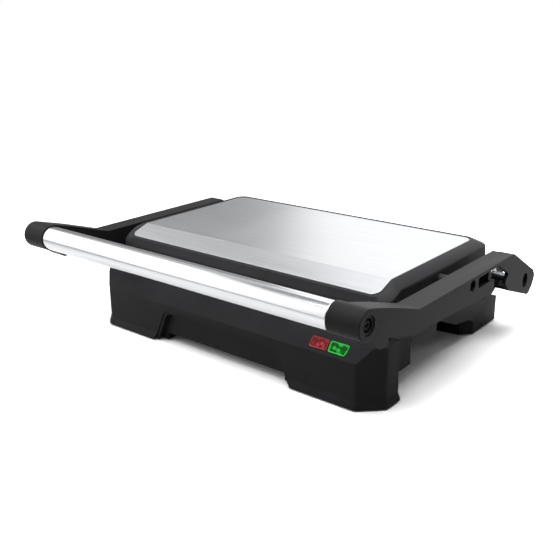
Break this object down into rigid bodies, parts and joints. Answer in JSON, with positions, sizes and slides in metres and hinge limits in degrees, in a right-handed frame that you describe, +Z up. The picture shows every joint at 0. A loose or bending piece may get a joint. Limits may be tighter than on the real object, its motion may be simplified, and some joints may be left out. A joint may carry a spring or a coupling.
{
  "type": "panini press",
  "caption": "Contact grill with two ribbed heating plates, a floating steel-covered lid hung between two side arms, a tubular handle and a base on rubber feet.",
  "frame": {"origin": "on the ground under the middle of the whole outline, lid closed", "axes": "+X to the right-hand side, +Y to the back where the hinge is, +Z up; the handle is at the front, -Y"},
  "size_m": [0.3604, 0.2996, 0.1064],
  "materials": {
    "base_housing": "injection-moulded black plastic with a fine matt grain",
    "bottom_cover": "injection-moulded black plastic with a fine matt grain",
    "cover_screw_1": "zinc-plated steel screw",
    "cover_screw_2": "zinc-plated steel screw",
    "cover_screw_3": "zinc-plated steel screw",
    "cover_screw_4": "zinc-plated steel screw",
    "foot_front_left": "black rubber",
    "foot_front_right": "black rubber",
    "foot_rear_left": "black rubber",
    "foot_rear_right": "black rubber",
    "lower_plate": "die-cast aluminium with a black non-stick coating",
    "lower_element": "steel-sheathed heating rod, dulled by heat",
    "lower_heat_shield": "aluminised steel sheet",
    "lower_thermostat": "ceramic-bodied disc thermostat",
    "lower_thermal_fuse": "brass-coloured fuse can",
    "lower_plate_screw_1": "zinc-plated steel screw",
    "lower_plate_screw_2": "zinc-plated steel screw",
    "lower_plate_screw_3": "zinc-plated steel screw",
    "lower_plate_screw_4": "zinc-plated steel screw",
    "power_lens": "translucent red signal lens",
    "ready_lens": "translucent green signal lens",
    "lamp_holder": "off-white nylon",
    "cord_inlet": "black rubber",
    "terminal_block": "off-white nylon",
    "hinge_tower_right": "injection-moulded black plastic with a fine matt grain",
    "hinge_tower_left": "injection-moulded black plastic with a fine matt grain",
    "hinge_tower_screw_right": "zinc-plated steel screw",
    "hinge_tower_screw_left": "zinc-plated steel screw",
    "hinge_pin_right": "polished steel pin",
    "hinge_pin_left": "polished steel pin",
    "pin_clip_right": "spring steel clip",
    "pin_clip_left": "spring steel clip",
    "arm_right": "injection-moulded black plastic with a fine matt grain",
    "arm_left": "injection-moulded black plastic with a fine matt grain",
    "handle_tube": "satin stainless steel tube",
    "handle_plug_right": "turned aluminium plug",
    "handle_plug_left": "turned aluminium plug",
    "handle_screw_right": "black-oxide steel screw",
    "handle_screw_left": "black-oxide steel screw",
    "pivot_screw_right": "zinc-plated steel screw",
    "pivot_screw_left": "zinc-plated steel screw",
    "lid_frame": "injection-moulded black plastic with a fine matt grain",
    "steel_cover": "brushed stainless steel sheet",
    "upper_plate": "die-cast aluminium with a black non-stick coating",
    "upper_element": "steel-sheathed heating rod, dulled by heat",
    "upper_heat_shield": "aluminised steel sheet",
    "upper_thermostat": "ceramic-bodied disc thermostat",
    "upper_thermal_fuse": "brass-coloured fuse can",
    "upper_plate_screw_1": "zinc-plated steel screw",
    "upper_plate_screw_2": "zinc-plated steel screw",
    "upper_plate_screw_3": "zinc-plated steel screw",
    "upper_plate_screw_4": "zinc-plated steel screw"
  },
  "bodies": {
    "base": {"base_housing": "base_housing", "bottom_cover": "bottom_cover", "cover_screw_1": "cover_screw_1", "cover_screw_2": "cover_screw_2", "cover_screw_3": "cover_screw_3", "cover_screw_4": "cover_screw_4", "foot_front_left": "foot_front_left", "foot_front_right": "foot_front_right", "foot_rear_left": "foot_rear_left", "foot_rear_right": "foot_rear_right", "lower_plate": "lower_plate", "lower_element": "lower_element", "lower_heat_shield": "lower_heat_shield", "lower_thermostat": "lower_thermostat", "lower_thermal_fuse": "lower_thermal_fuse", "lower_plate_screw_1": "lower_plate_screw_1", "lower_plate_screw_2": "lower_plate_screw_2", "lower_plate_screw_3": "lower_plate_screw_3", "lower_plate_screw_4": "lower_plate_screw_4", "power_lens": "power_lens", "ready_lens": "ready_lens", "lamp_holder": "lamp_holder", "cord_inlet": "cord_inlet", "terminal_block": "terminal_block", "hinge_tower_right": "hinge_tower_right", "hinge_tower_left": "hinge_tower_left", "hinge_tower_screw_right": "hinge_tower_screw_right", "hinge_tower_screw_left": "hinge_tower_screw_left"},
    "hinge_pins": {"hinge_pin_right": "hinge_pin_right", "hinge_pin_left": "hinge_pin_left", "pin_clip_right": "pin_clip_right", "pin_clip_left": "pin_clip_left"},
    "arms": {"arm_right": "arm_right", "arm_left": "arm_left", "handle_tube": "handle_tube", "handle_plug_right": "handle_plug_right", "handle_plug_left": "handle_plug_left", "handle_screw_right": "handle_screw_right", "handle_screw_left": "handle_screw_left", "pivot_screw_right": "pivot_screw_right", "pivot_screw_left": "pivot_screw_left"},
    "lid": {"lid_frame": "lid_frame", "steel_cover": "steel_cover", "upper_plate": "upper_plate", "upper_element": "upper_element", "upper_heat_shield": "upper_heat_shield", "upper_thermostat": "upper_thermostat", "upper_thermal_fuse": "upper_thermal_fuse", "upper_plate_screw_1": "upper_plate_screw_1", "upper_plate_screw_2": "upper_plate_screw_2", "upper_plate_screw_3": "upper_plate_screw_3", "upper_plate_screw_4": "upper_plate_screw_4"}
  },
  "joints": [
    {"name": "hinge_float", "type": "slide", "parent": "base", "child": "hinge_pins", "axis": [0, 0, 1], "range_m": [0, 0.0054]},
    {"name": "arm_hinge", "type": "hinge", "parent": "hinge_pins", "child": "arms", "pos_m": [0, 0.11955, 0.0539], "axis": [-1, 0, 0], "range_deg": [0, 105]},
    {"name": "lid_tilt", "type": "hinge", "parent": "arms", "child": "lid", "pos_m": [0, 0.01475, 0.0786], "axis": [1, 0, 0], "range_deg": [-2, 2]}
  ]
}
